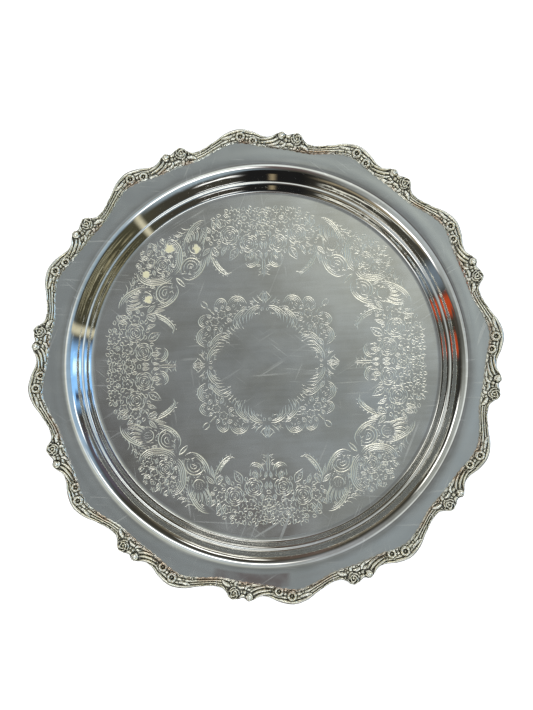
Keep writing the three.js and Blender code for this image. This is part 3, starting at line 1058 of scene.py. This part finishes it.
def fade(look, distance, bounds):
    """1 where a distance is under the first of two bounds in mm, 0 where it is over the second."""
    return look.remap(distance, bounds[1] * MM, bounds[0] * MM)


def on_flats(look):
    """1 on the well floor and the flange, 0 on the side between them."""
    middle = (WELL_RADIUS + SHOULDER_RADIUS) / 2 * MM
    away = look.math("ABSOLUTE", look.minus(away_from(look, (0, 0)), middle))
    return look.remap(away, SIDE_HALF[0] * MM, SIDE_HALF[1] * MM)


def reddish_reflection(look):
    """1 on a soft reddish patch of painted reflection on the flange."""
    around = fade(look, away_from(look, polar(*REDDISH_REFLECTION_AT)), REDDISH_REFLECTION_REACH)
    off_middle = look.math("ABSOLUTE", look.minus(away_from(look, (0, 0)), REDDISH_REFLECTION_BAND * MM))
    band = fade(look, off_middle, REDDISH_REFLECTION_HALF)
    patchy = look.remap(look.noise(60, 3.0, offset=6.0), 0.3, 0.65, 0.45, 1.0)
    return look.times(look.times(around, band), patchy)


def residue(look):
    """1 on the ragged spots of dried polish."""
    ragged = look.times(look.minus(look.noise(420, 4.0, offset=1.3), 0.5), RESIDUE_RAGGED * MM)
    covered = None
    for spot, radius in RESIDUE:
        away = look.plus(away_from(look, spot), ragged)
        part = fade(look, away, (radius - RESIDUE_EDGE, radius))
        covered = part if covered is None else look.math("MAXIMUM", covered, part)
    return covered


def sheet_silver():
    """Worn polish: fine scratches, faint cloudiness, matt bright cuts, and painted reflections on the flange;
    the side keeps its shine.
    """
    look = Shading(bpy.data.materials.new("worn sheet silver"))
    marks = scratches(look)
    cut = look.remap(look.named("cut"), 0.02, 0.3)
    cloud = look.remap(look.noise(26, 5.0), 0.36, 0.66, 0.0, 0.74)
    brushed = look.remap(look.noise(300, 3.0, 8.0, 2.0, 2.2), 0.32, 0.68, 0.0, 0.26)
    colour = look.blend(look.plus(cloud, brushed), POLISHED, CLOUDED)
    # Painted reflection: the flange is tinted bluish grey, standing in for the light it mirrors.
    low, high = FLANGE_REFLECTION_RADII
    on_flange = look.remap(away_from(look, (0, 0)), low * MM, high * MM, 0, 0.75)
    colour = look.blend(on_flange, colour, FLANGE_REFLECTION_TINT)
    # Painted reflection: a soft reddish patch on the flange.
    colour = look.blend(reddish_reflection(look), colour, REDDISH_REFLECTION_COLOUR)
    colour = look.blend(look.times(marks, 0.32), colour, SCRATCHED)
    colour = look.blend(cut, colour, BRIGHT_CUT)
    dried = residue(look)
    colour = look.blend(dried, colour, DRIED_POLISH)
    worn = look.remap(look.noise(55, 5.0, offset=4.0), 0.3, 0.75, 0.09, 0.17)
    rough = look.plus(look.times(on_flats(look), worn), 0.035)
    for mark, added in ((marks, 0.1), (cut, 0.14), (dried, 0.35)):
        rough = look.plus(rough, look.times(mark, added))
    bare = look.minus(1.0, look.times(dried, 0.7))
    ripple = look.minus(look.noise(14, 1.0, offset=9.0), 0.5)
    ripple = look.times(ripple, look.remap(on_flange, 0, 0.75, 0.5, 2.2))
    relief = look.minus(ripple, look.times(marks, 0.01))
    bump = look.add("ShaderNodeBump", {"Strength": 0.35, "Distance": 0.8 * MM, "Height": relief})
    inputs = {"Base Color": colour, "Metallic": bare, "Roughness": rough, "Normal": bump.outputs[0]}
    return look.surface(inputs)


def cast_silver():
    """Warmer cast metal: rubbed bright on top, dark in the recesses, coppery along the inner side."""
    look = Shading(bpy.data.materials.new("cast silver"))
    grime = look.remap(look.noise(900, 4.0), 0.25, 0.6, 0.6, 1.0)
    dark = look.times(look.remap(look.named("recess"), 0.3, 0.85), grime)
    colour = look.blend(look.remap(look.noise(120, 3.0), 0.35, 0.7), RUBBED, DULLED)
    patchy = look.remap(look.noise(70, 3.0, offset=5.0), 0.45, 0.62)
    copper = look.times(look.named("inner_side"), patchy)
    colour = look.blend(look.times(copper, 0.8), colour, COPPERY)
    colour = look.blend(dark, colour, PATINA)
    rough = look.remap(look.noise(400, 4.0, offset=2.0), 0.3, 0.7, 0.07, 0.16)
    rough = look.plus(rough, look.times(dark, 0.25))
    grain = look.noise(1500, 3.0)
    bump = look.add("ShaderNodeBump", {"Strength": 0.3, "Distance": 0.2 * MM, "Height": grain})
    inputs = {"Base Color": colour, "Metallic": 1.0, "Roughness": rough, "Normal": bump.outputs[0]}
    return look.surface(inputs)


def pale_floor():
    """Matt near-white paper."""
    look = Shading(bpy.data.materials.new("pale floor"))
    colour = look.blend(look.noise(3, 2.0), (0.93, 0.93, 0.93), (0.96, 0.96, 0.96))
    return look.surface({"Base Color": colour, "Roughness": 0.9})


# ---- The studio ----
# What the silver mirrors: the room's ceiling near the zenith as round patches, its hazy upper walls,
# and sharp-edged windows, lamps and dark things round about.
CEILING = (0.265, 0.285, 0.29)
CORNICE = (0.86, 0.90, 0.88)
LOW = (0.05, 0.047, 0.037)
# Round patches: azimuth, elevation, radius and softness in degrees, colour.
CEILING_PATCHES = [
    (100, 86, 5.5, 3.5, (0.185, 0.197, 0.20)),
    (52, 70, 13, 5, (0.46, 0.48, 0.44)),
    (135, 70, 11, 5, (0.17, 0.178, 0.18)),
    (200, 76, 9, 4, (0.115, 0.115, 0.115)),
    (265, 83.5, 2.4, 0.8, (0.06, 0.035, 0.028)),
    (2, 83, 4.5, 4, (0.28, 0.315, 0.335)),
    (320, 74, 10, 5, (0.25, 0.265, 0.26)),
]
# Panels: azimuth, elevation, half width, half height, edge softness, colour.
HAZES = [
    (200, 58, 28, 9, 6, (0.42, 0.46, 0.48)),
    (98, 58, 22, 9, 6, (0.40, 0.43, 0.45)),
    (322, 57, 26, 9, 6, (0.40, 0.48, 0.54)),
    (292, 30, 20, 12, 9, (0.348, 0.435, 0.505)),
    (335, 42, 26, 9, 7, (0.296, 0.392, 0.47)),
    (14, 34, 20, 18, 9, (0.331, 0.47, 0.626)),
    (66, 40, 32, 12, 8, (0.452, 0.522, 0.557)),
    (110, 34, 14, 16, 8, (0.296, 0.304, 0.313)),
    (152, 34, 24, 16, 8, (0.365, 0.383, 0.365)),
    (218, 36, 26, 16, 8, (0.392, 0.418, 0.418)),
    (262, 42, 12, 10, 6, (0.131, 0.100, 0.096)),
    (330, 10, 22, 18, 4, (0.065, 0.061, 0.037)),
    (95, 0, 40, 6, 3, (0.191, 0.165, 0.122)),
    (232, 13, 20, 3, 2, (0.34, 0.29, 0.2)),
]
WINDOWS = [
    (292, 41, 19, 4.5, 3, (2.8, 2.8, 2.8)),
    (283, 9, 7, 1.0, 1, (1.8, 1.8, 1.8)),
    (218, 20, 12, 2.8, 2, (2.6, 2.6, 2.6)),
    (225, 8, 9, 0.6, 0.6, (1.0, 1.0, 0.9)),
    (238, 5, 11, 0.6, 0.6, (1.1, 1.1, 1.0)),
    (228, 1, 8, 0.7, 0.6, (0.7, 0.66, 0.5)),
    (246, 0, 5, 0.8, 0.6, (0.5, 0.3, 0.2)),
    (265, 9, 13, 14, 2, (0.012, 0.012, 0.012)),
    (266, 5, 0.9, 4.5, 0.8, (0.30, 0.24, 0.15)),
    (312, 12, 1.0, 20, 0.8, (0.62, 0.58, 0.42)),
    (352, 14, 1.4, 20, 0.8, (0.62, 0.58, 0.42)),
    (324, 3, 7, 1.0, 0.8, (0.42, 0.38, 0.24)),
    (336, 21, 11, 0.7, 0.6, (0.50, 0.47, 0.32)),
    (333, 17, 12, 0.6, 0.5, (0.42, 0.40, 0.28)),
    (335, 13, 11, 0.6, 0.5, (0.50, 0.47, 0.32)),
    (330, 9, 12, 0.6, 0.5, (0.36, 0.34, 0.22)),
    (338, 6, 9, 0.6, 0.5, (0.42, 0.40, 0.28)),
    (6, 6, 9, 13, 1.5, (0.34, 0.70, 1.25)),
    (3, 4, 2, 6, 1, (0.9, 1.3, 1.7)),
    (12, 3, 1.5, 5, 1, (0.05, 0.07, 0.12)),
    (19, 17, 6, 2.0, 1.5, (2.0, 2.1, 2.2)),
    (34, 6, 12, 5, 3, (0.09, 0.08, 0.10)),
    (28, 3, 3, 1.5, 1, (0.35, 0.5, 0.7)),
    (66, 35, 30, 3.5, 3, (2.8, 2.8, 2.75)),
    (78, 10, 12, 1.4, 0.8, (2.2, 2.2, 2.1)),
    (77, 4, 10, 0.8, 0.8, (1.5, 1.5, 1.4)),
    (100, 5, 8, 7, 3, (0.12, 0.09, 0.075)),
    (117, 0, 10, 1.0, 1, (1.0, 1.0, 0.9)),
    (151, 15, 13, 2.2, 1.5, (2.4, 2.4, 2.3)),
    (150, 4, 9, 0.8, 0.8, (1.0, 1.0, 0.9)),
    (165, 8, 14, 3.5, 2, (0.03, 0.03, 0.028)),
    (181, 4, 3.4, 2.6, 1, (0.50, 0.07, 0.02)),
    (193, 7, 3.2, 8, 1, (0.55, 0.075, 0.02)),
    (188, 11, 4, 3, 1, (0.07, 0.06, 0.05)),
    (203, 8, 4, 8, 2, (0.16, 0.2, 0.24)),
]
BACKDROP = (1.0, 1.0, 1.0)
ROOM_LIGHT = 1.5
WALL_TO_CORNICE = (34, 50)  # elevations between which one colour goes over to the next
CORNICE_TO_CEILING = (64, 75)


class Room(Shading):
    """The world's nodes, as one colour painted over by patches and panels in turn."""

    def __init__(self, world):
        super().__init__(world)
        self.heading = self.add("ShaderNodeTexCoord").outputs["Generated"]
        axes = self.add("ShaderNodeSeparateXYZ", {0: self.heading}).outputs
        self.azimuth = self.math("ARCTAN2", axes[1], axes[0])
        self.elevation = self.math("ARCSINE", axes[2])
        wave = {"Vector": self.heading, "Scale": 7.0, "Detail": 3.0}
        wavy = self.minus(self.add("ShaderNodeTexNoise", wave).outputs[0], 0.5)
        self.elevation = self.plus(self.elevation, self.times(wavy, 0.12))
        self.colour = LOW
        for bounds, colour in ((WALL_TO_CORNICE, CORNICE), (CORNICE_TO_CEILING, CEILING)):
            upward = self.remap(self.elevation, *np.radians(bounds))
            self.colour = self.blend(upward, self.colour, colour)

    def patch(self, azimuth, elevation, radius, soft, colour):
        """Paint a round patch."""
        level = math.cos(math.radians(elevation))
        spot = (*polar(azimuth, level), math.sin(math.radians(elevation)))
        away = self.vector("DISTANCE", self.heading, spot)["Value"]
        part = self.remap(away, math.radians(radius + soft), math.radians(radius - soft))
        self.colour = self.blend(part, self.colour, colour)

    def panel(self, azimuth, elevation, half_width, half_height, soft, colour):
        """Paint an upright rectangle with soft edges."""
        turned = self.minus(self.azimuth, math.radians(azimuth))
        wrap = self.add("ShaderNodeMath", {0: turned, 1: math.pi, 2: -math.pi}, operation="WRAP")
        aside = self.math("ABSOLUTE", wrap.outputs[0])
        risen = self.math("ABSOLUTE", self.minus(self.elevation, math.radians(elevation)))
        ends = math.radians(soft + half_width * 0.25)
        across = self.remap(aside, math.radians(half_width) + ends, math.radians(half_width) - ends)
        full = math.radians(max(half_height - soft, 0.1))
        upward = self.remap(risen, math.radians(half_height + soft), full)
        self.colour = self.blend(self.times(across, upward), self.colour, colour)


def build_world():
    """The room around the salver, and a plain white backdrop for the camera."""
    world = bpy.data.worlds.new("studio")
    bpy.context.scene.world = world
    room = Room(world)
    for patch in CEILING_PATCHES:
        room.patch(*patch)
    for panel in HAZES + WINDOWS:
        room.panel(*panel)
    seen = room.add("ShaderNodeLightPath").outputs["Is Camera Ray"]
    colour = room.blend(seen, room.colour, BACKDROP)
    background = room.add("ShaderNodeBackground", {"Color": colour, "Strength": ROOM_LIGHT})
    room.add("ShaderNodeOutputWorld", {"Surface": background.outputs[0]})


FLOOR_HALF = 3.0
FLOOR_DROP = 0.2 * MM  # kept clear of the tray's underside


def build_floor():
    """The paper that the salver lies on, which the silver doesn't mirror."""
    corners = [(x * FLOOR_HALF, y * FLOOR_HALF, 0) for x, y in ((-1, -1), (1, -1), (1, 1), (-1, 1))]
    mesh = bpy.data.meshes.new("floor")
    mesh.from_pydata(corners, [], [(0, 1, 2, 3)])
    mesh.materials.append(pale_floor())
    floor = bpy.data.objects.new("floor", mesh)
    floor.location.z = -FLOOR_DROP
    floor.visible_glossy = False
    bpy.context.collection.objects.link(floor)


# Lamps: place and size in metres, power in watts.
LAMPS = [((0.0, 0.0, 2.2), 3.0, 60), ((1.6, -1.2, 1.4), 1.6, 22), ((-1.6, 1.0, 1.4), 1.6, 22)]


def build_lamps():
    """Large soft lamps for the floor; the silver mirrors the room's panels in place of them."""
    for k, (place, size, power) in enumerate(LAMPS):
        light = bpy.data.lights.new(f"softbox_{k}", "AREA")
        light.size = size
        light.energy = power
        lamp = bpy.data.objects.new(f"softbox_{k}", light)
        lamp.location = place
        lamp.rotation_euler = Vector(place).to_track_quat("Z", "Y").to_euler()
        lamp.visible_glossy = False
        bpy.context.collection.objects.link(lamp)


# ---- Camera ----
CAMERA_DISTANCE = 0.627
CAMERA_TILT = 3.93  # degrees off the tray's axis
CAMERA_AZIMUTH = -81.2  # towards this side of the tray
IMAGE_TURN = 1.3  # the pattern's axes lie this far counter-clockwise in the picture
AIM_SHIFT = (0.46 * MM, 5.57 * MM)  # the picture's centre lies this far right of and above the tray's
AIM_HEIGHT = 12 * MM
FOCAL_LENGTH = 45.7


def build_camera():
    """The photograph's viewpoint: nearly straight above, leaning a little to one side."""
    camera = bpy.data.objects.new("camera", bpy.data.cameras.new("camera"))
    bpy.context.collection.objects.link(camera)
    camera.data.lens = FOCAL_LENGTH
    camera.data.clip_start = 0.01
    tilt, azimuth = math.radians(CAMERA_TILT), math.radians(CAMERA_AZIMUTH)
    back = Vector((math.sin(tilt) * math.cos(azimuth), math.sin(tilt) * math.sin(azimuth), math.cos(tilt)))
    turn = math.radians(IMAGE_TURN)
    # +X lies turned counter-clockwise in the picture, so the picture's right is turned back from it.
    right = Vector((math.cos(turn), -math.sin(turn), 0))
    right = (right - back * right.dot(back)).normalized()
    up = back.cross(right)
    aim = right * AIM_SHIFT[0] + up * AIM_SHIFT[1] + Vector((0, 0, AIM_HEIGHT))
    place = aim + back * CAMERA_DISTANCE
    camera.matrix_world = Matrix([[*row, 0] for row in (right, up, back)] + [[*place, 1]]).transposed()
    bpy.context.scene.camera = camera


# ---- MAIN ----
build_tray(sheet_silver())
build_mounts(cast_silver())
build_floor()
build_world()
build_lamps()
build_camera()
bpy.context.scene.view_settings.view_transform = "Standard"
